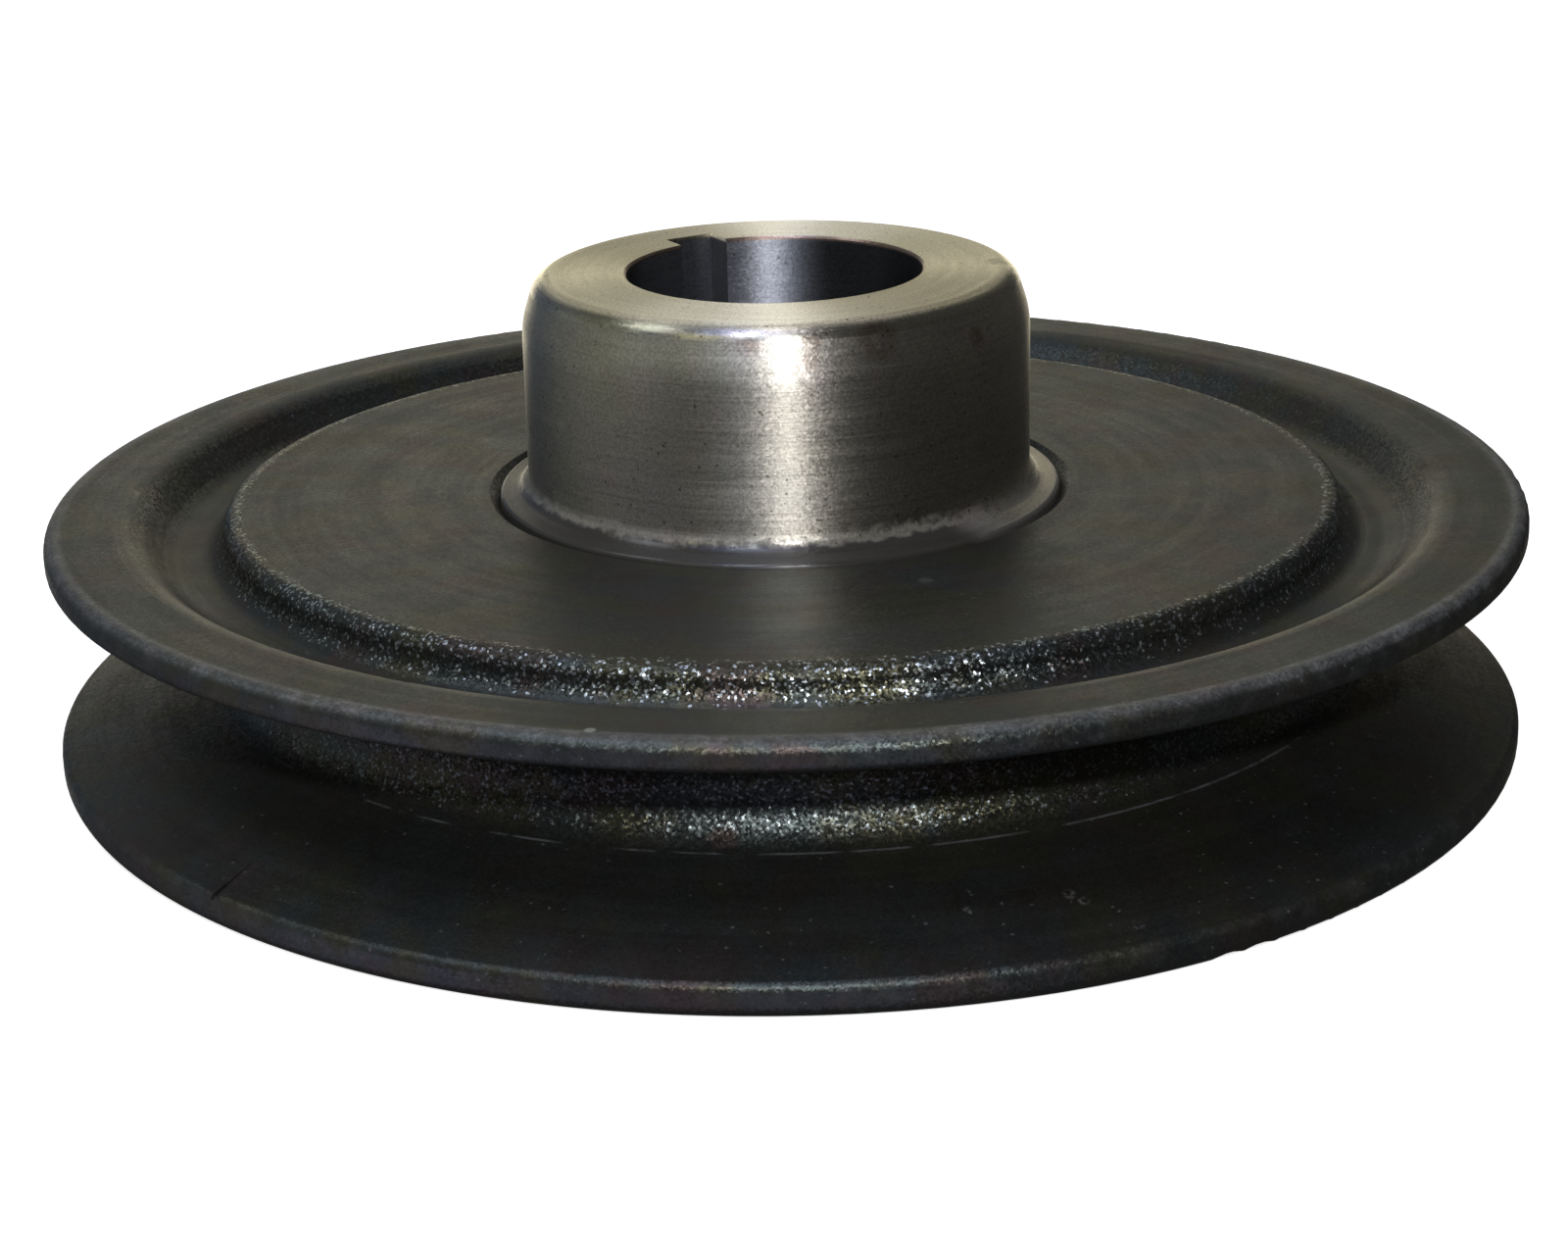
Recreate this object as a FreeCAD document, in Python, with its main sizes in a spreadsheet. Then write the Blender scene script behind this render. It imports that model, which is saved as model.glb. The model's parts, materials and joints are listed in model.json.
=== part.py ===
import FreeCAD, Part
import math
import os
import Sketcher

# Single-groove V belt pulley, hub up. The axis is +Z, the origin is on the axis in the plane of the lower
# flange's face, and the keyway points along +Y. All lengths are in millimetres and angles in degrees.

SIZES = [
    ("rim_radius", 70.0),           # outside radius of both flanges
    ("rim_width", 23.5),            # from the lower flange's face to the upper flange's face
    ("upper_land", 2.5),            # cylindrical edge of the upper flange, corner to corner
    ("lower_land", 3.1),            # cylindrical edge of the lower flange, corner to corner
    ("groove_half_angle", 18.0),    # between a groove wall and the plane across the axis
    ("root_radius", 52.75),         # radius at the bottom of the belt groove
    ("root_fillet", 4.25),          # nearly full round root
    ("mouth_rounding", 0.8),        # where the groove walls meet the flange edges
    ("upper_edge_rounding", 1.2),   # outer corner of the upper flange
    ("lower_edge_rounding", 1.5),   # outer corner of the lower flange
    ("pad_radius", 53.2),           # raised centre face, flush with the upper flange
    ("pad_rounding", 1.4),          # edge of the raised centre face
    ("moat_floor_radius", 58.0),    # outer end of the ring recess's floor
    ("moat_rim_radius", 62.0),      # inner edge of the upper flange's flat face
    ("moat_depth", 3.7),            # ring recess in the upper face
    ("moat_inner_fillet", 2.2),     # between the centre face's wall and the floor
    ("moat_outer_fillet", 3.6),     # between the floor and the sloping outer wall
    ("moat_rim_rounding", 3.6),     # between the sloping wall and the flange's flat face
    ("web_bottom", 11.5),           # height of the web's underside
    ("cavity_inner_radius", 31.5),  # boss radius at the mouth of the lower cavity
    ("cavity_outer_radius", 48.8),  # rim's inner radius at the mouth of the lower cavity
    ("cavity_draft", 0.9),          # casting draft of the cavity's walls, over its depth
    ("cavity_fillet", 3.0),         # cavity's upper corners
    ("cavity_rounding", 0.8),       # cavity's mouth
    ("boss_face", 1.0),             # the boss and the hub end just above the lower flange's face
    ("joint_radius", 26.8),         # pressed joint between the hub and the sheave
    ("joint_chamfer_width", 1.1),   # chamfer of the sheave's bore at the upper face
    ("joint_chamfer_depth", 0.9),
    ("notch_angle", 197.0),         # timing notch, from +X towards +Y
    ("notch_width", 1.0),
    ("notch_inner_radius", 65.2),   # where the notch starts on the lower groove wall
    ("notch_bottom", 1.9),          # height of the notch's bottom at the flange edge
    ("hub_radius", 24.0),           # ground outside of the hub, an oil seal's running surface
    ("hub_top", 44.3),              # height of the hub's upper face
    ("lead_in_length", 4.2),        # cone that leads a seal on to the hub, along the axis
    ("lead_in_depth", 1.4),         # the same cone's fall towards the axis
    ("lead_in_blend", 9.0),         # between the hub's side and the cone
    ("hub_end_rounding", 2.0),      # between the cone and the upper face
    ("foot_rise", 0.5),             # the foot's shallow cone at the hub's side, above the upper face
    ("foot_fillet", 1.7),           # between the hub's side and the foot's cone
    ("foot_edge_rise", 0.1),        # height of the foot's edge above the upper face
    ("foot_edge_rounding", 0.4),    # outer edge of the foot, beside the joint
    ("hub_bottom_chamfer", 0.8),    # outer corner of the hub's lower end
    ("bore_radius", 14.0),
    ("bore_chamfer", 0.2),
    ("keyway_width", 5.0),
    ("keyway_reach", 17.0),         # from the axis to the bottom of the keyway
]

PARTS_FOLDER = "parts"
OVERRUN = 2.0  # how far cutting profiles run past the material


def make_sheet(doc):
    """One row per size: name, value and an alias of the same name."""
    sheet = doc.addObject("Spreadsheet::Sheet", "sizes")
    for row, (name, value) in enumerate(SIZES, start=1):
        sheet.set(f"A{row}", name)
        sheet.set(f"B{row}", str(value))
        sheet.setAlias(f"B{row}", name)
    doc.recompute()


def named_sizes(expression):
    """Turn each size name in angle brackets into a reference to its cell in the sheet."""
    for name, value in SIZES:
        expression = expression.replace(f"<{name}>", f"sizes.{name}")
    return expression


def size_value(item, expression):
    """The number an expression has now, read by any item of the document."""
    result = item.evalExpression(named_sizes(expression))
    return float(getattr(result, "Value", result))


def origin_plane(body, role):
    for feature in body.Origin.OriginFeatures:
        if feature.Role == role:
            return feature
    raise ValueError(f"{body.Name} has no {role}")


def add_sketch(body, name, plane_role, turn=None):
    """A sketch on one of the body's own planes, turned about Z by an expression if one is given."""
    sketch = body.newObject("Sketcher::SketchObject", name)
    sketch.AttachmentSupport = [(origin_plane(body, plane_role), "")]
    sketch.MapMode = "FlatFace"
    if turn:
        sketch.setExpression("AttachmentOffset.Rotation.Axis.x", "0")
        sketch.setExpression("AttachmentOffset.Rotation.Axis.y", "1")
        sketch.setExpression("AttachmentOffset.Rotation.Axis.z", "0")
        sketch.setExpression("AttachmentOffset.Rotation.Angle", named_sizes(turn))
    return sketch


def add_outline(sketch, corners):
    """A closed outline of straight lines. Each corner is a pair of expressions, across and up."""
    points = [FreeCAD.Vector(size_value(sketch, across), size_value(sketch, up), 0) for across, up in corners]
    lines = []
    for start, end in zip(points, points[1:] + points[:1]):
        lines.append(sketch.addGeometry(Part.LineSegment(start, end), False))
    for line, following in zip(lines, lines[1:] + lines[:1]):
        sketch.addConstraint(Sketcher.Constraint("Coincident", line, 2, following, 1))
    for line, point, (across, up) in zip(lines, points, corners):
        for kind, distance, expression in (("DistanceX", point.x, across), ("DistanceY", point.y, up)):
            index = sketch.addConstraint(Sketcher.Constraint(kind, -1, 1, line, 1, distance))
            sketch.setExpression(f"Constraints[{index}]", named_sizes(expression))


def revolve(body, kind, name, sketch):
    """A full turn of a sketch about the body's Z axis, as a Revolution or a Groove."""
    feature = body.newObject(f"PartDesign::{kind}", name)
    feature.Profile = sketch
    feature.ReferenceAxis = (sketch, ["V_Axis"])
    feature.Angle = 360.0
    sketch.Document.recompute()
    return feature


def ring_edges(base, places):
    """Names of the round edges of a feature that lie at the given radius and height pairs."""
    names = []
    for radius, height in places:
        found = [
            f"Edge{number}"
            for number, edge in enumerate(base.Shape.Edges, start=1)
            if isinstance(edge.Curve, Part.Circle)
            and abs(edge.Curve.Radius - size_value(base, radius)) < 0.01
            and abs(edge.Curve.Center.z - size_value(base, height)) < 0.01
        ]
        if not found:
            raise ValueError(f"{base.Name} has no edge at radius {radius}, height {height}")
        names.extend(found)
    return names


def dress(body, kind, name, places, size):
    """A Fillet or a Chamfer on round edges of the body's last feature."""
    base = body.Tip
    feature = body.newObject(f"PartDesign::{kind}", name)
    feature.Base = (base, ring_edges(base, places))
    feature.setExpression("Radius" if kind == "Fillet" else "Size", named_sizes(size))
    body.Document.recompute()
    return feature


def make_sheave(doc):
    """Belt rim, web and boss in one casting, turned all over its upper side."""
    body = doc.addObject("PartDesign::Body", "sheave")
    body.Label = "sheave"
    groove_rise = "(<rim_radius> - <root_radius>) * tan(<groove_half_angle> * 1 deg)"

    blank = add_sketch(body, "sheave_section", "XZ_Plane")
    add_outline(blank, [
        ("<joint_radius>", "<boss_face>"),
        ("<cavity_inner_radius>", "<boss_face>"),
        ("<cavity_inner_radius> + <cavity_draft>", "<web_bottom>"),
        ("<cavity_outer_radius> - <cavity_draft>", "<web_bottom>"),
        ("<cavity_outer_radius>", "0"),
        ("<rim_radius>", "0"),
        ("<rim_radius>", "<rim_width>"),
        ("<moat_rim_radius>", "<rim_width>"),
        ("<moat_floor_radius>", "<rim_width> - <moat_depth>"),
        ("<pad_radius>", "<rim_width> - <moat_depth>"),
        ("<pad_radius>", "<rim_width>"),
        ("<joint_radius> + <joint_chamfer_width>", "<rim_width>"),
        ("<joint_radius>", "<rim_width> - <joint_chamfer_depth>"),
    ])
    revolve(body, "Revolution", "sheave_blank", blank)

    groove = add_sketch(body, "groove_section", "XZ_Plane")
    add_outline(groove, [
        ("<root_radius>", f"<lower_land> + {groove_rise}"),
        ("<rim_radius>", "<lower_land>"),
        (f"<rim_radius> + {OVERRUN}", "<lower_land>"),
        (f"<rim_radius> + {OVERRUN}", "<rim_width> - <upper_land>"),
        ("<rim_radius>", "<rim_width> - <upper_land>"),
        ("<root_radius>", f"<rim_width> - <upper_land> - {groove_rise}"),
    ])
    revolve(body, "Groove", "belt_groove", groove)

    dress(body, "Fillet", "groove_root", [
        ("<root_radius>", f"<lower_land> + {groove_rise}"),
        ("<root_radius>", f"<rim_width> - <upper_land> - {groove_rise}"),
    ], "<root_fillet>")
    dress(body, "Fillet", "groove_mouth", [
        ("<rim_radius>", "<lower_land>"),
        ("<rim_radius>", "<rim_width> - <upper_land>"),
    ], "<mouth_rounding>")
    dress(body, "Fillet", "upper_flange_edge", [("<rim_radius>", "<rim_width>")], "<upper_edge_rounding>")
    dress(body, "Fillet", "lower_flange_edge", [("<rim_radius>", "0")], "<lower_edge_rounding>")
    dress(body, "Fillet", "moat_inner_corner", [
        ("<pad_radius>", "<rim_width> - <moat_depth>"),
    ], "<moat_inner_fillet>")
    dress(body, "Fillet", "moat_outer_corner", [
        ("<moat_floor_radius>", "<rim_width> - <moat_depth>"),
    ], "<moat_outer_fillet>")
    dress(body, "Fillet", "moat_rim", [("<moat_rim_radius>", "<rim_width>")], "<moat_rim_rounding>")
    dress(body, "Fillet", "pad_edge", [("<pad_radius>", "<rim_width>")], "<pad_rounding>")
    dress(body, "Fillet", "cavity_corners", [
        ("<cavity_inner_radius> + <cavity_draft>", "<web_bottom>"),
        ("<cavity_outer_radius> - <cavity_draft>", "<web_bottom>"),
    ], "<cavity_fillet>")
    dress(body, "Fillet", "cavity_mouth", [
        ("<cavity_inner_radius>", "<boss_face>"),
        ("<cavity_outer_radius>", "0"),
    ], "<cavity_rounding>")

    # The timing notch is filed across the upper corner of the lower flange, in a plane through the axis.
    wall_rise = "(<rim_radius> - <notch_inner_radius>) * tan(<groove_half_angle> * 1 deg)"
    notch = add_sketch(body, "notch_section", "XZ_Plane", turn="<notch_angle>")
    add_outline(notch, [
        ("<notch_inner_radius>", f"<lower_land> + {wall_rise}"),
        (f"<rim_radius> + {OVERRUN}", "<notch_bottom>"),
        (f"<rim_radius> + {OVERRUN}", f"<lower_land> + {wall_rise}"),
    ])
    before = body.Tip.Shape.Volume
    pocket = body.newObject("PartDesign::Pocket", "timing_notch")
    pocket.Profile = notch
    pocket.Midplane = True
    pocket.setExpression("Length", named_sizes("<notch_width>"))
    doc.recompute()
    if pocket.Shape.Volume >= before:
        raise ValueError("the timing notch cuts nothing")
    return body


def make_hub(doc):
    """Turned steel hub with a ground outside, pressed into the sheave, with a keyed bore."""
    body = doc.addObject("PartDesign::Body", "hub")
    body.Label = "hub"

    section = add_sketch(body, "hub_section", "XZ_Plane")
    add_outline(section, [
        ("<bore_radius>", "<boss_face>"),
        ("<joint_radius>", "<boss_face>"),
        ("<joint_radius>", "<rim_width> + <foot_edge_rise>"),
        ("<hub_radius>", "<rim_width> + <foot_rise>"),
        ("<hub_radius>", "<hub_top> - <lead_in_length>"),
        ("<hub_radius> - <lead_in_depth>", "<hub_top>"),
        ("<bore_radius>", "<hub_top>"),
    ])
    revolve(body, "Revolution", "hub_blank", section)
    dress(body, "Fillet", "hub_end_edge", [
        ("<hub_radius> - <lead_in_depth>", "<hub_top>"),
    ], "<hub_end_rounding>")
    dress(body, "Fillet", "seal_lead_in", [
        ("<hub_radius>", "<hub_top> - <lead_in_length>"),
    ], "<lead_in_blend>")
    dress(body, "Fillet", "hub_foot", [("<hub_radius>", "<rim_width> + <foot_rise>")], "<foot_fillet>")
    dress(body, "Fillet", "foot_edge", [
        ("<joint_radius>", "<rim_width> + <foot_edge_rise>"),
    ], "<foot_edge_rounding>")
    dress(body, "Chamfer", "bore_chamfers", [
        ("<bore_radius>", "<boss_face>"),
        ("<bore_radius>", "<hub_top>"),
    ], "<bore_chamfer>")
    dress(body, "Chamfer", "lower_end_chamfer", [("<joint_radius>", "<boss_face>")], "<hub_bottom_chamfer>")

    slot = add_sketch(body, "keyway_section", "XY_Plane")
    add_outline(slot, [
        ("-<keyway_width> / 2", "0"),
        ("<keyway_width> / 2", "0"),
        ("<keyway_width> / 2", "<keyway_reach>"),
        ("-<keyway_width> / 2", "<keyway_reach>"),
    ])
    before = body.Tip.Shape.Volume
    pocket = body.newObject("PartDesign::Pocket", "keyway")
    pocket.Profile = slot
    pocket.Type = "ThroughAll"
    pocket.Midplane = True
    doc.recompute()
    if pocket.Shape.Volume >= before:
        raise ValueError("the keyway cuts nothing")
    return body


def check_document(doc, bodies):
    for item in doc.Objects:
        if "Invalid" in item.State or "Error" in item.State:
            raise ValueError(f"{item.Name} failed: {item.State}")
    for body in bodies:
        if body.Shape.isNull() or not body.Shape.isValid() or len(body.Shape.Solids) != 1:
            raise ValueError(f"{body.Label} isn't one valid solid")


def write_parts(bodies):
    os.makedirs(PARTS_FOLDER, exist_ok=True)
    for body in bodies:
        body.Shape.exportStep(os.path.join(PARTS_FOLDER, f"{body.Label}.step"))
        print(f"{body.Label}: {body.Shape.Volume:.0f} mm3")


document = FreeCAD.newDocument("v_belt_pulley")
make_sheet(document)
made = [make_sheave(document), make_hub(document)]
document.recompute()
check_document(document, made)
write_parts(made)
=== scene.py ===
import json
import math

import bpy
from mathutils import Matrix, Vector


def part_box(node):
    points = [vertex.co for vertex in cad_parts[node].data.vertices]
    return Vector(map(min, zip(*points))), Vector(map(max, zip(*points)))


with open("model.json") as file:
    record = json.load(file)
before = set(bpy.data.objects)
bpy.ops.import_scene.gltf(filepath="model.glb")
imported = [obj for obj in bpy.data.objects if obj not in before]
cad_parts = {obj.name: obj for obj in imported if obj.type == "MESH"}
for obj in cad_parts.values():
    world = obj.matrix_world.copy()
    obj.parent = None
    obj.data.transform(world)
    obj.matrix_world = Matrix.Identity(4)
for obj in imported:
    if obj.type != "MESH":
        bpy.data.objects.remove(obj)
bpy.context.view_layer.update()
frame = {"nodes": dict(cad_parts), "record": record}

# ---------------------------------------------------------------------------------------------------------
# Places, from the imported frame. Lengths are metres and angles are degrees.
# ---------------------------------------------------------------------------------------------------------
_, SHEAVE_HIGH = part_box("sheave")
_, HUB_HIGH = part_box("hub")
MOUNTS = {mount["name"]: mount for mount in frame["record"]["mounts"]}
FLANGE_RADIUS = SHEAVE_HIGH.x
RIM_TOP = SHEAVE_HIGH.z
HUB_TOP = HUB_HIGH.z
FOOT_RADIUS = HUB_HIGH.x
BORE_RADIUS = MOUNTS["shaft_bore"]["dims"]["r_mm"] / 1000
SEAL_RADIUS = MOUNTS["seal_surface"]["dims"]["r_mm"] / 1000

# Places where a finish changes, which the frame doesn't name.
GROOVE_CEILING = 0.0180       # the groove's root lies below this height, and the raised centre above it
ROOT_END_RADIUS = 0.0533      # where the groove's rounded root ends
CENTRE_EDGE_RADIUS = 0.0526   # the rounded edge of the raised centre
LIP_RADIUS = 0.0690           # the rounded lip of the upper flange
LIP_FOOT, LIP_CREST = 0.0226, 0.0230
TOOL_MARK_RADIUS = 0.05515    # a line left by the tool on the lower groove wall
KEYWAY_REACH = 0.0178         # just beyond the keyway's floor
CRYSTAL_SIZE = 0.00024
FACET_SIZE = 0.00022

# Marks and patches of another finish: bearing in degrees, radius, height, and how far each one reaches.
SHEAVE_SMUDGE = (-97.8, 0.0341, RIM_TOP, 0.0009)
SHEAVE_DARK_SPOT = (121.1, 0.0341, RIM_TOP, 0.0014)
SHEAVE_NICK = (-132.1, 0.0682, RIM_TOP, 0.00055)
GROOVE_SCUFFS = (
    (-98.2, 0.0628, 0.00544, 0.0007), (-97.5, 0.0638, 0.0051, 0.0006),
    (-95.1, 0.0676, 0.0039, 0.0008), (-106.2, 0.0629, 0.0054, 0.0005),
)
HUB_STAINS = (
    (-125.5, 0.0232, 0.0426, 0.0013), (-111.6, 0.0232, 0.0428, 0.0012),
    (-112.0, 0.0235, 0.0412, 0.0010), (-96.5, 0.0232, 0.0424, 0.0024),
    (-69.6, 0.0236, 0.0409, 0.0013),
)
HUB_SMUDGE = (-28.8, 0.0210, HUB_TOP, 0.0017)
HUB_NICK = (-33.0, 0.0220, 0.0435, 0.0006)
HUB_OLIVE_PATCH = (-153.0, SEAL_RADIUS, 0.0397, 0.011)
HUB_BARE_FOOT = (-36.0, 0.0260, RIM_TOP, 0.020)

# The camera stands low in front of the pulley and looks past its axis. Its bearings go round from +X
# towards +Y.
CAMERA_BEARING = -119.42      # from the axis to the camera
CAMERA_REACH = 0.30182        # from the axis to the camera, level
CAMERA_HEIGHT = RIM_TOP + 0.08976
CAMERA_HEADING = 62.9
CAMERA_PITCH = 18.62
CAMERA_ROLL = -2.0
CAMERA_LENS = 75.0
CAMERA_SHIFT = (0.0817, -0.0127)


def level_direction(bearing):
    """Level unit vector at a bearing from +X towards +Y."""
    angle = math.radians(bearing)
    return Vector((math.cos(angle), math.sin(angle), 0.0))


def seen_from_camera(side, height):
    """Unit vector at a bearing measured from the camera's side, positive to the camera's right."""
    level = level_direction(CAMERA_HEADING + 180.0 + side)
    rise = math.radians(height)
    return level * math.cos(rise) + Vector((0.0, 0.0, math.sin(rise)))


# ---------------------------------------------------------------------------------------------------------
# Node building
# ---------------------------------------------------------------------------------------------------------
class Graph:
    """Adds nodes to a node tree and links or sets their inputs."""

    def __init__(self, tree):
        self.tree = tree
        tree.nodes.clear()

    def add(self, kind, inputs=None, **settings):
        node = self.tree.nodes.new(kind)
        for name, value in settings.items():
            setattr(node, name, value)
        for key, value in (inputs or {}).items():
            if isinstance(value, bpy.types.NodeSocket):
                self.tree.links.new(value, node.inputs[key])
            else:
                node.inputs[key].default_value = value
        return node

    def math(self, operation, *values):
        return self.add("ShaderNodeMath", dict(enumerate(values)), operation=operation).outputs[0]

    def vector(self, operation, *values):
        node = self.add("ShaderNodeVectorMath", dict(enumerate(values)), operation=operation)
        return node.outputs["Value" if operation in ("LENGTH", "DISTANCE", "DOT_PRODUCT") else "Vector"]

    def scaled(self, vector, factor):
        node = self.add("ShaderNodeVectorMath", {0: vector, "Scale": factor}, operation="SCALE")
        return node.outputs["Vector"]

    def chain(self, operation, first, *others):
        """One operation worked through any number of values."""
        for value in others:
            first = self.math(operation, first, value)
        return first

    def total(self, *values):
        return self.chain("ADD", *values)

    def times(self, *values):
        return self.chain("MULTIPLY", *values)

    def largest(self, *values):
        return self.chain("MAXIMUM", *values)

    def combine(self, x, y, z):
        return self.add("ShaderNodeCombineXYZ", {"X": x, "Y": y, "Z": z}).outputs[0]

    def split(self, vector):
        """The parts of a vector or a colour, as sockets X, Y and Z."""
        return self.add("ShaderNodeSeparateXYZ", {0: vector}).outputs

    def ramp(self, value, low, high, out_low=0.0, out_high=1.0, smooth=True):
        """A clamped map from low..high to out_low..out_high."""
        node = self.add(
            "ShaderNodeMapRange",
            {0: value, 1: low, 2: high, 3: out_low, 4: out_high},
            interpolation_type="SMOOTHSTEP" if smooth else "LINEAR",
        )
        return node.outputs[0]

    def noise(self, vector, scale, detail=2.0, roughness=0.5):
        inputs = {"Vector": vector, "Scale": scale, "Detail": detail, "Roughness": roughness}
        return self.add("ShaderNodeTexNoise", inputs).outputs["Fac"]

    def cells(self, vector, size, output="Color"):
        return self.add("ShaderNodeTexVoronoi", {"Vector": vector, "Scale": 1.0 / size}).outputs[output]

    def mix(self, factor, first, second):
        """A blend of two colours: first where factor is 0, second where it is 1."""
        node = self.add("ShaderNodeMix", {0: factor}, data_type="RGBA")
        for slot, value in ((6, first), (7, second)):
            if isinstance(value, bpy.types.NodeSocket):
                self.tree.links.new(value, node.inputs[slot])
            else:
                node.inputs[slot].default_value = (*value, 1.0)
        return node.outputs[2]


class Turned(Graph):
    """A material for a turned piece, with sockets for its radius, height and angle about the axis."""

    def __init__(self, name):
        material = bpy.data.materials.new(name)
        material.use_nodes = True
        super().__init__(material.node_tree)
        self.material = material
        self.place = self.add("ShaderNodeTexCoord").outputs["Object"]
        parts = self.split(self.place)
        self.height = parts["Z"]
        self.radius = self.vector("LENGTH", self.combine(parts["X"], parts["Y"], 0.0))
        self.angle = self.math("ARCTAN2", parts["Y"], parts["X"])
        self.normal = self.add("ShaderNodeNewGeometry").outputs["Normal"]
        self.upward = self.split(self.normal)["Z"]

    def rings(self, pitch, drift):
        """Tool lines round the axis: noise that changes fast across the lines and slowly along them."""
        across = 1.0 / pitch
        vector = self.combine(
            self.times(self.radius, across),
            self.times(self.height, across),
            self.times(self.angle, drift),
        )
        return self.noise(vector, 1.0)

    def near(self, bearing, radius, height, reach, soft=0.5):
        """1 at a place on the piece, falling to 0 at a distance of reach."""
        place = level_direction(bearing) * radius + Vector((0.0, 0.0, height))
        distance = self.vector("DISTANCE", self.place, tuple(place))
        return self.ramp(distance, reach * soft, reach, 1.0, 0.0)

    def marks(self, places):
        return self.largest(*(self.near(*place) for place in places))

    def band(self, value, middle, half_width):
        """1 where value is at middle, falling to 0 half_width away."""
        away = self.math("ABSOLUTE", self.math("SUBTRACT", value, middle))
        return self.ramp(away, half_width * 0.4, half_width, 1.0, 0.0)

    def facets(self, normal, size, tilt):
        """Tips the normal of each small crystal its own way, so that some of them glint."""
        tip = self.vector("SUBTRACT", self.cells(self.place, size), (0.5, 0.5, 0.5))
        return self.vector("NORMALIZE", self.vector("ADD", normal, self.scaled(tip, tilt)))

    def bump(self, height, distance, strength, normal=None):
        inputs = {"Height": height, "Distance": distance, "Strength": strength}
        if normal is not None:
            inputs["Normal"] = normal
        return self.add("ShaderNodeBump", inputs).outputs["Normal"]

    def finish(self, inputs):
        shader = self.add("ShaderNodeBsdfPrincipled", inputs)
        self.add("ShaderNodeOutputMaterial", {"Surface": shader.outputs[0]})
        return self.material


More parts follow.
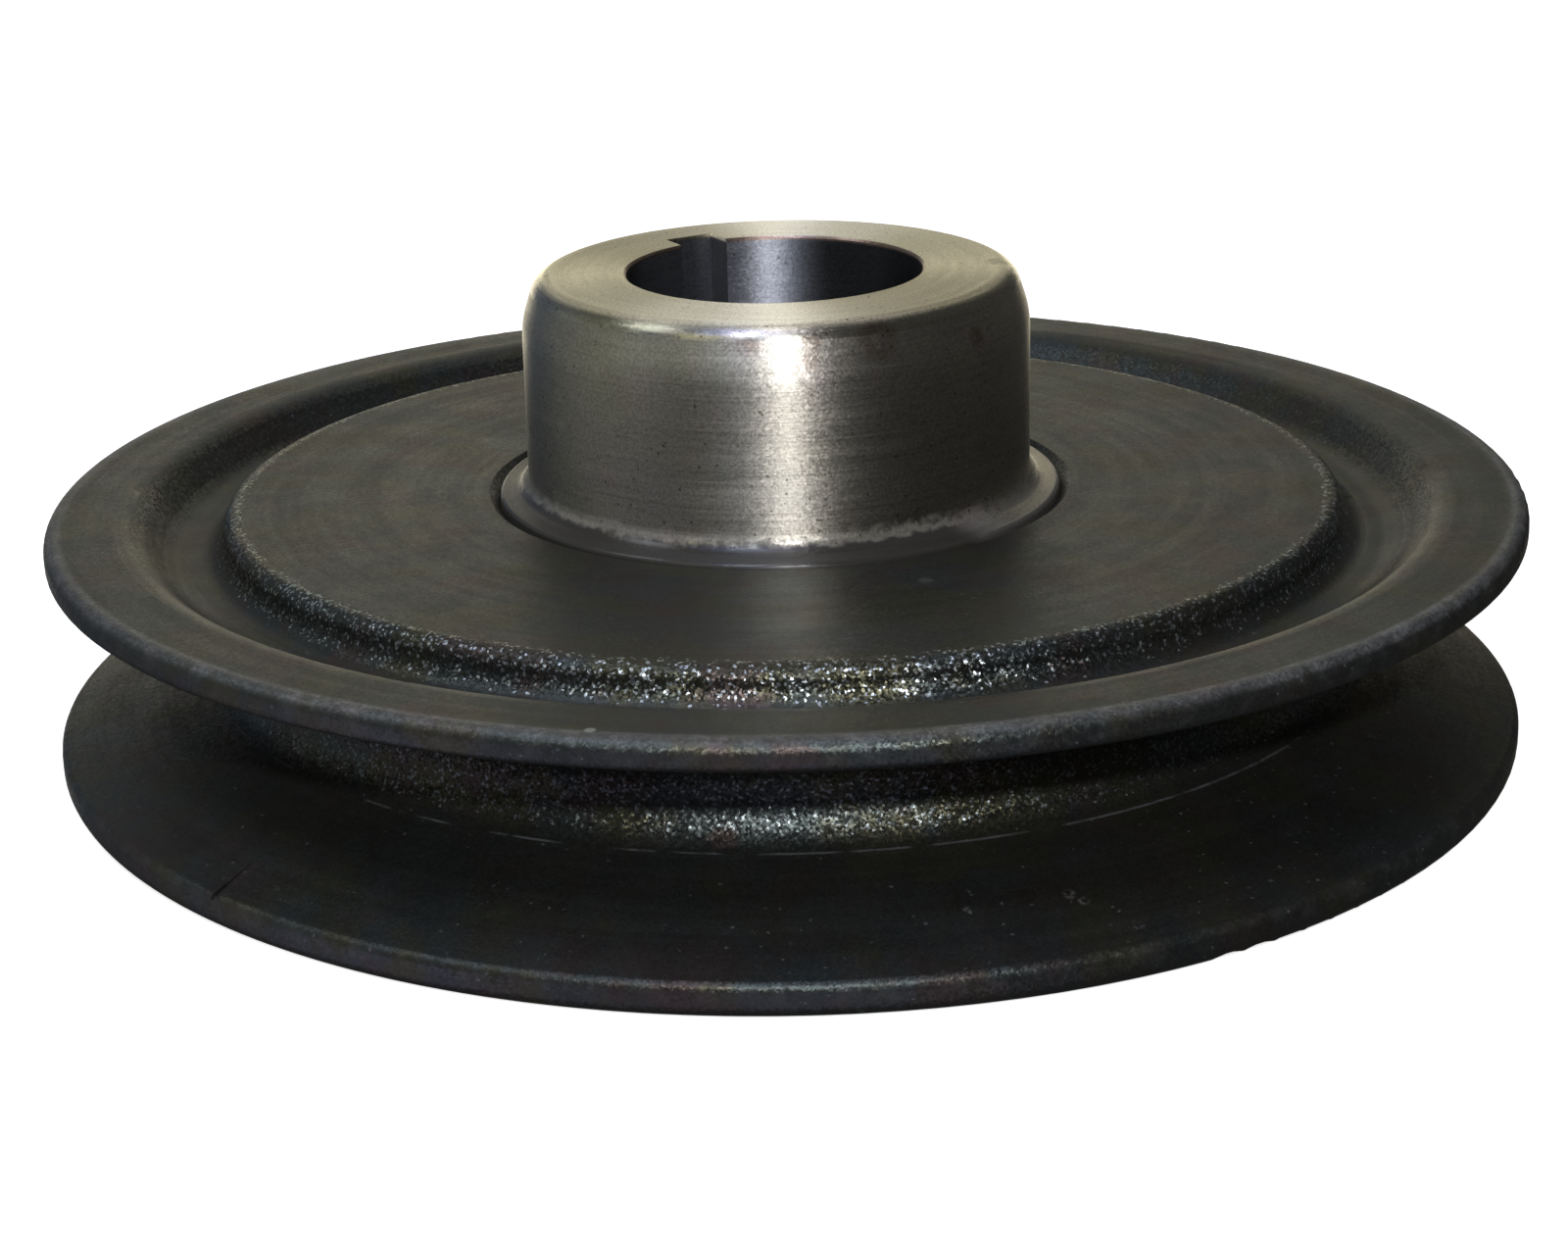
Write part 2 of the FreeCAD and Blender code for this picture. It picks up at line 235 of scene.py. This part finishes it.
# ---------------------------------------------------------------------------------------------------------
# Materials
# ---------------------------------------------------------------------------------------------------------
def black_phosphate():
    """Phosphated, oiled iron: nearly black, with crystals that glint and faint olive and brown mottling."""
    m = Turned("black_phosphate")
    steep = m.ramp(m.upward, 0.80, 0.98, 1.0, 0.0)
    blotches = m.noise(m.place, 55.0, 4.0, 0.6)
    tints = m.noise(m.vector("ADD", m.place, (3.1, 1.7, 0.0)), 120.0, 3.0, 0.6)
    browns = m.noise(m.vector("ADD", m.place, (0.4, 5.2, 0.9)), 150.0, 3.0, 0.6)
    patches = m.noise(m.place, 190.0, 4.0, 0.6)
    crystals = m.split(m.cells(m.place, CRYSTAL_SIZE))
    base = m.mix(m.ramp(blotches, 0.38, 0.62), (0.0036, 0.0040, 0.0038), (0.0060, 0.0052, 0.0044))
    base = m.mix(m.ramp(tints, 0.50, 0.66, 0.0, 0.8), base, (0.0050, 0.0062, 0.0040))
    base = m.mix(m.ramp(crystals["Y"], 0.0, 1.0, 0.0, 0.45, smooth=False), base, (0.0110, 0.0112, 0.0110))
    sheen = m.mix(m.ramp(tints, 0.44, 0.62), (0.80, 0.96, 0.92), (1.0, 0.97, 0.62))
    sheen = m.mix(m.ramp(browns, 0.50, 0.64), sheen, (1.0, 0.80, 0.72))

    # Marks on the upper faces, and scuffs on the lower groove wall.
    smudge = m.near(*SHEAVE_SMUDGE)
    dark_spot = m.near(*SHEAVE_DARK_SPOT)
    nick = m.near(*SHEAVE_NICK)
    scuff = m.times(m.ramp(m.noise(m.place, 1500.0), 0.42, 0.60), m.marks(GROOVE_SCUFFS))
    base = m.mix(m.times(smudge, 0.5), base, (0.030, 0.029, 0.025))
    base = m.mix(m.times(scuff, 0.7), base, (0.060, 0.060, 0.058))

    # The two flange rims are rubbed lighter, in broken patches, and the upper lip carries a painted
    # highlight.
    rub = m.ramp(m.noise(m.place, 420.0, 3.0, 0.7), 0.42, 0.66)
    at_rim = m.ramp(m.radius, FLANGE_RADIUS - 0.0009, FLANGE_RADIUS - 0.0001)
    rims = m.largest(m.band(m.height, RIM_TOP - 0.0010, 0.0016), m.band(m.height, 0.0026, 0.0014))
    worn = m.times(at_rim, rims, rub)
    base = m.mix(m.times(worn, 0.6), base, (0.0200, 0.0196, 0.0188))
    # A lighter grey band along the upper flange's rounded lip is a painted highlight, broken up by the rub
    # pattern and crystal speckle.
    lip_painted_highlight = m.times(m.band(m.radius, LIP_RADIUS, 0.0010), m.ramp(m.height, LIP_FOOT, LIP_CREST))
    lip_painted_highlight = m.times(lip_painted_highlight, m.ramp(crystals["Z"], 0.0, 1.0, 0.35, 1.0, smooth=False))
    base = m.mix(m.times(lip_painted_highlight, m.ramp(rub, 0.0, 1.0, 0.6, 1.0)), base, (0.082, 0.082, 0.082))

    # Coarser crystals in the groove's root and on the raised centre's edge, where some shine like metal.
    in_groove = m.ramp(m.height, GROOVE_CEILING - 0.0002, GROOVE_CEILING + 0.0002, 1.0, 0.0)
    root = m.times(in_groove, m.ramp(m.radius, ROOT_END_RADIUS, ROOT_END_RADIUS + 0.0009, 1.0, 0.0))
    centre_edge = m.times(m.math("SUBTRACT", 1.0, in_groove), m.band(m.radius, CENTRE_EDGE_RADIUS, 0.0016))
    coarse = m.largest(root, centre_edge)
    broken = m.ramp(m.noise(m.place, 300.0, 3.0), 0.40, 0.62, 0.0, 0.16)
    tool_mark = m.times(in_groove, m.band(m.radius, TOOL_MARK_RADIUS, 0.00015), broken)
    plenty = m.total(crystals["X"], m.ramp(coarse, 0.0, 1.0, -0.148, 0.0, smooth=False))
    flake = m.largest(m.ramp(plenty, 0.845, 0.875), nick, tool_mark)
    base = m.mix(flake, base, m.mix(root, (0.30, 0.325, 0.335), (0.115, 0.130, 0.130)))

    lines = m.rings(0.00030, 3.0)
    wide_lines = m.rings(0.0012, 1.2)
    grain = m.noise(m.place, 5200.0)
    normal = m.bump(lines, 0.00003, 0.25)
    normal = m.bump(wide_lines, 0.00004, 0.12, normal)
    normal = m.bump(grain, 0.00005, 0.30, normal)
    tilt = m.total(
        m.ramp(steep, 0.0, 1.0, 0.10, 0.24, smooth=False),
        m.times(root, 0.14),
        m.times(centre_edge, 0.26),
    )
    normal = m.facets(normal, FACET_SIZE, tilt)
    roughness = m.total(
        m.ramp(patches, 0.3, 0.7, 0.40, 0.47),
        m.ramp(wide_lines, 0.3, 0.7, -0.03, 0.03),
        m.ramp(steep, 0.0, 1.0, 0.05, 0.0, smooth=False),
        m.times(coarse, -0.06),
        m.times(dark_spot, -0.08),
        m.times(smudge, 0.12),
    )
    return m.finish({
        "Base Color": base, "Metallic": flake, "Specular Tint": sheen, "Roughness": roughness, "IOR": 1.5,
        "Normal": normal,
    })


def turned_steel():
    """Bare steel, ground on the outside and turned on the end, with a rougher, darker bore."""
    m = Turned("turned_steel")
    inside = m.ramp(m.radius, BORE_RADIUS + 0.0001, BORE_RADIUS + 0.0003, 1.0, 0.0)
    below_end = m.ramp(m.height, HUB_TOP - 0.0005, HUB_TOP - 0.0002, 1.0, 0.0)
    in_keyway = m.ramp(m.radius, KEYWAY_REACH - 0.0002, KEYWAY_REACH + 0.0002, 1.0, 0.0)
    in_keyway = m.times(below_end, in_keyway)
    in_bore = m.largest(inside, in_keyway)
    blotches = m.noise(m.place, 90.0, 4.0, 0.6)
    tints = m.noise(m.vector("ADD", m.place, (2.3, 0.0, 4.1)), 150.0, 3.0, 0.6)
    base = m.mix(m.ramp(blotches, 0.35, 0.65), (0.44, 0.41, 0.345), (0.385, 0.365, 0.315))
    base = m.mix(m.ramp(tints, 0.52, 0.68, 0.0, 0.6), base, (0.41, 0.355, 0.325))
    olive = m.times(m.near(*HUB_OLIVE_PATCH, soft=0.2), 0.5)
    base = m.mix(olive, base, (0.36, 0.36, 0.22))
    on_end = m.ramp(m.height, HUB_TOP - 0.0005, HUB_TOP - 0.0001)
    base = m.mix(on_end, base, (0.66, 0.625, 0.50))
    base = m.mix(in_bore, base, (0.32, 0.235, 0.190))
    # Keyway faces that point across are painted near black as painted shade, and its floor a lighter
    # blue-grey as its lit side.
    across = m.math("ABSOLUTE", m.split(m.normal)["X"])
    keyway_lit_and_shaded = m.mix(m.ramp(across, 0.5, 0.8), (0.27, 0.28, 0.31), (0.05, 0.05, 0.052))
    base = m.mix(in_keyway, base, keyway_lit_and_shaded)

    # Stains and drips under the end, and a smudge and a nick on the end itself.
    patchy = m.ramp(m.noise(m.place, 900.0, 3.0, 0.6), 0.28, 0.70, 0.25, 1.0)
    stains = m.times(patchy, m.marks(HUB_STAINS))
    base = m.mix(m.times(stains, 0.60), base, (0.19, 0.130, 0.105))
    smudge = m.times(patchy, m.near(*HUB_SMUDGE))
    base = m.mix(m.times(smudge, 0.7), base, (0.20, 0.18, 0.13))
    base = m.mix(m.times(m.near(*HUB_NICK), 0.8), base, (0.12, 0.11, 0.09))

    # Small dark pits, thicker towards the foot, and fine scratches round the axis.
    pits = m.cells(m.place, 0.0008, "Distance")
    lower = m.ramp(m.height, RIM_TOP, 0.038, 0.10, 0.0, smooth=False)
    few = m.ramp(m.total(m.noise(m.place, 500.0), lower), 0.52, 0.62)
    pit = m.times(m.ramp(pits, 0.10, 0.22, 1.0, 0.0), few)
    base = m.mix(m.times(pit, 0.75), base, (0.08, 0.07, 0.055))
    lines = m.rings(0.00022, 2.0)
    wide_lines = m.rings(0.0009, 0.8)
    grain = m.noise(m.place, 4200.0)
    shade = m.total(1.0, m.ramp(lines, 0.25, 0.75, -0.08, 0.08), m.ramp(grain, 0.3, 0.7, -0.17, 0.17))
    base = m.vector("MULTIPLY", base, m.combine(shade, shade, shade))

    # The foot is made near black and mostly not metal in front and on the left, and stays bare steel on the
    # right.
    foot = m.ramp(m.height, RIM_TOP + 0.0017, RIM_TOP + 0.0026, 1.0, 0.0)
    waver = m.ramp(m.noise(m.place, 700.0, 3.0, 0.6), 0.3, 0.7, -0.00015, 0.00015)
    edge = m.total(m.radius, waver)
    darkened_foot = m.times(foot, m.ramp(edge, 0.0239, 0.0245))
    bare = m.near(*HUB_BARE_FOOT, soft=0.6)
    darkened_foot = m.times(darkened_foot, m.math("SUBTRACT", 1.0, m.times(bare, 0.85)))
    ring = m.times(foot, m.ramp(m.radius, FOOT_RADIUS - 0.0006, FOOT_RADIUS - 0.0002))
    darkened_foot = m.largest(darkened_foot, m.times(ring, 0.9))
    base = m.mix(darkened_foot, base, (0.030, 0.028, 0.024))

    normal = m.bump(lines, 0.00002, 0.35)
    normal = m.bump(grain, 0.00002, 0.30, normal)
    normal = m.facets(normal, FACET_SIZE, 0.05)
    rounding = m.times(m.ramp(m.upward, 0.28, 0.45), m.ramp(m.upward, 0.90, 0.98, 1.0, 0.0))
    roughness = m.total(
        m.ramp(blotches, 0.3, 0.7, 0.38, 0.42),
        m.ramp(wide_lines, 0.3, 0.7, -0.022, 0.022),
        m.ramp(lines, 0.3, 0.7, -0.02, 0.02),
        m.times(in_bore, 0.12),
        m.ramp(m.upward, 0.03, 0.22, 0.0, 0.07),
        m.times(rounding, -0.19),
    )
    tangent = m.add("ShaderNodeTangent", direction_type="RADIAL", axis="Z").outputs[0]
    metallic = m.math("SUBTRACT", 1.0, m.times(darkened_foot, 0.8))
    return m.finish({
        "Base Color": base, "Metallic": metallic, "Roughness": roughness, "Anisotropic": 0.82,
        "Anisotropic Rotation": 0.25, "Tangent": tangent, "Normal": normal,
    })


def give_material(node, material):
    """Puts a material in every slot of a CAD node."""
    materials = frame["nodes"][node].data.materials
    for index in range(len(materials)):
        materials[index] = material
    if not materials:
        materials.append(material)


# ---------------------------------------------------------------------------------------------------------
# Studio
# ---------------------------------------------------------------------------------------------------------
# What lights the pulley instead of a plain sky: soft patches of light. Each has its bearing from the
# camera's side (positive to the camera's right), its height, the radius of its even middle and of its
# faded edge, all in degrees, and its colour.
SKY = {
    "front_left": (-43, 42, 5, 16, (1.45, 1.42, 0.95)),
    "overhead_left": (-28, 70, 8, 20, (0.85, 1.05, 2.30)),
    "overhead_back": (180, 66, 10, 30, (0.34, 0.33, 0.36)),
    "ceiling": (180, 86, 2, 7, (2.4, 2.5, 2.2)),
    "ceiling_front": (0, 80, 3, 10, (3.8, 3.5, 3.2)),
    "back_low": (180, -12, 8, 30, (1.94, 1.78, 1.33)),
    "back_high": (180, 36, 10, 28, (0.57, 0.54, 0.42)),
    "floor_near": (0, -34, 8, 26, (1.00, 0.90, 1.30)),
    "floor_left": (-80, -15, 12, 40, (0.26, 0.245, 0.295)),
    "floor_left_low": (-62, -34, 8, 26, (0.80, 0.70, 1.10)),
    "left_wall": (-100, 20, 10, 40, (0.17, 0.185, 0.155)),
    "left_front": (-62, 32, 6, 22, (0.0, 0.01, 0.10)),
    "back_left": (-140, 5, 10, 40, (0.045, 0.065, 0.105)),
}
AMBIENT = (0.057, 0.057, 0.055)
FLOOR_HALF_WIDTH = 6.0
FLOOR_LEVEL = -0.0002         # just under the lower flange's face, so that the two don't share a plane

# Area lamps: bearing and height as above, distance, width and height in metres, and colour as radiance.
LAMPS = {
    "flash": (1.9, 24.3, 0.338, (0.030, 0.012), (650.0, 650.0, 670.0)),
    "window": (-22.0, 58.0, 0.90, (0.13, 0.13), (21.0, 23.5, 27.0)),
    "window_left": (-91.0, 55.0, 0.90, (0.24, 0.24), (5.0, 5.2, 5.6)),
}


def make_floor():
    """White paper under the pulley. It fills the picture but sends the pulley no light."""
    mesh = bpy.data.meshes.new("floor")
    half = FLOOR_HALF_WIDTH
    corners = [(x, y, FLOOR_LEVEL) for x, y in ((-half, -half), (half, -half), (half, half), (-half, half))]
    mesh.from_pydata(corners, [], [(0, 1, 2, 3)])
    floor = bpy.data.objects.new("floor", mesh)
    bpy.context.scene.collection.objects.link(floor)
    floor.visible_diffuse = False
    floor.visible_glossy = False
    floor.visible_shadow = False
    material = bpy.data.materials.new("white_paper")
    material.use_nodes = True
    graph = Graph(material.node_tree)
    shader = graph.add("ShaderNodeBsdfPrincipled", {
        "Base Color": (0.86, 0.86, 0.87, 1.0), "Roughness": 0.9, "Specular IOR Level": 0.0,
        "Emission Color": (1.0, 1.0, 1.0, 1.0), "Emission Strength": 0.80,
    })
    graph.add("ShaderNodeOutputMaterial", {"Surface": shader.outputs[0]})
    mesh.materials.append(material)


def make_world():
    """White paper all round for the camera, and the patches of light for everything else."""
    world = bpy.data.worlds.new("studio")
    bpy.context.scene.world = world
    world.use_nodes = True
    graph = Graph(world.node_tree)
    direction = graph.add("ShaderNodeTexCoord").outputs["Generated"]
    colour = graph.combine(*AMBIENT)
    for side, height, inner, outer, tint in SKY.values():
        facing = graph.vector("DOT_PRODUCT", direction, tuple(seen_from_camera(side, height)))
        glow = graph.ramp(facing, math.cos(math.radians(outer)), math.cos(math.radians(inner)))
        colour = graph.vector("ADD", colour, graph.scaled(tint, glow))
    lit = graph.add("ShaderNodeBackground", {"Color": colour, "Strength": 1.0})
    seen = graph.add("ShaderNodeBackground", {"Color": (1.0, 1.0, 1.0, 1.0), "Strength": 1.05})
    camera_ray = graph.add("ShaderNodeLightPath").outputs["Is Camera Ray"]
    both = graph.add("ShaderNodeMixShader", {0: camera_ray, 1: lit.outputs[0], 2: seen.outputs[0]})
    graph.add("ShaderNodeOutputWorld", {"Surface": both.outputs[0]})


def make_lamps():
    """Area lamps aimed at the hub's foot."""
    aim = Vector((0.0, 0.0, RIM_TOP))
    for name, (side, height, distance, (width, tall), radiance) in LAMPS.items():
        light = bpy.data.lights.new(name, "AREA")
        light.shape = "RECTANGLE"
        light.size, light.size_y = width, tall
        strongest = max(radiance)
        light.energy = math.pi * width * tall * strongest
        light.color = [part / strongest for part in radiance]
        lamp = bpy.data.objects.new(name, light)
        lamp.location = aim + seen_from_camera(side, height) * distance
        lamp.rotation_mode = "QUATERNION"
        lamp.rotation_quaternion = (aim - lamp.location).to_track_quat("-Z", "Y")
        bpy.context.scene.collection.objects.link(lamp)


def make_camera():
    """The camera. Its small shift puts the lens's axis off the middle, as in a cropped picture."""
    data = bpy.data.cameras.new("camera")
    data.lens = CAMERA_LENS
    data.sensor_width = 36.0
    data.shift_x, data.shift_y = CAMERA_SHIFT
    data.clip_start = 0.01
    camera = bpy.data.objects.new("camera", data)
    place = level_direction(CAMERA_BEARING) * CAMERA_REACH + Vector((0.0, 0.0, CAMERA_HEIGHT))
    turn = Matrix.Rotation(math.radians(CAMERA_HEADING - 90.0), 4, "Z")
    tilt = Matrix.Rotation(math.radians(90.0 - CAMERA_PITCH), 4, "X")
    roll = Matrix.Rotation(math.radians(CAMERA_ROLL), 4, "Z")
    camera.matrix_world = Matrix.Translation(place) @ turn @ tilt @ roll
    bpy.context.scene.collection.objects.link(camera)
    bpy.context.scene.camera = camera


give_material("sheave", black_phosphate())
give_material("hub", turned_steel())
make_floor()
make_world()
make_lamps()
make_camera()
bpy.context.scene.view_settings.view_transform = "Standard"
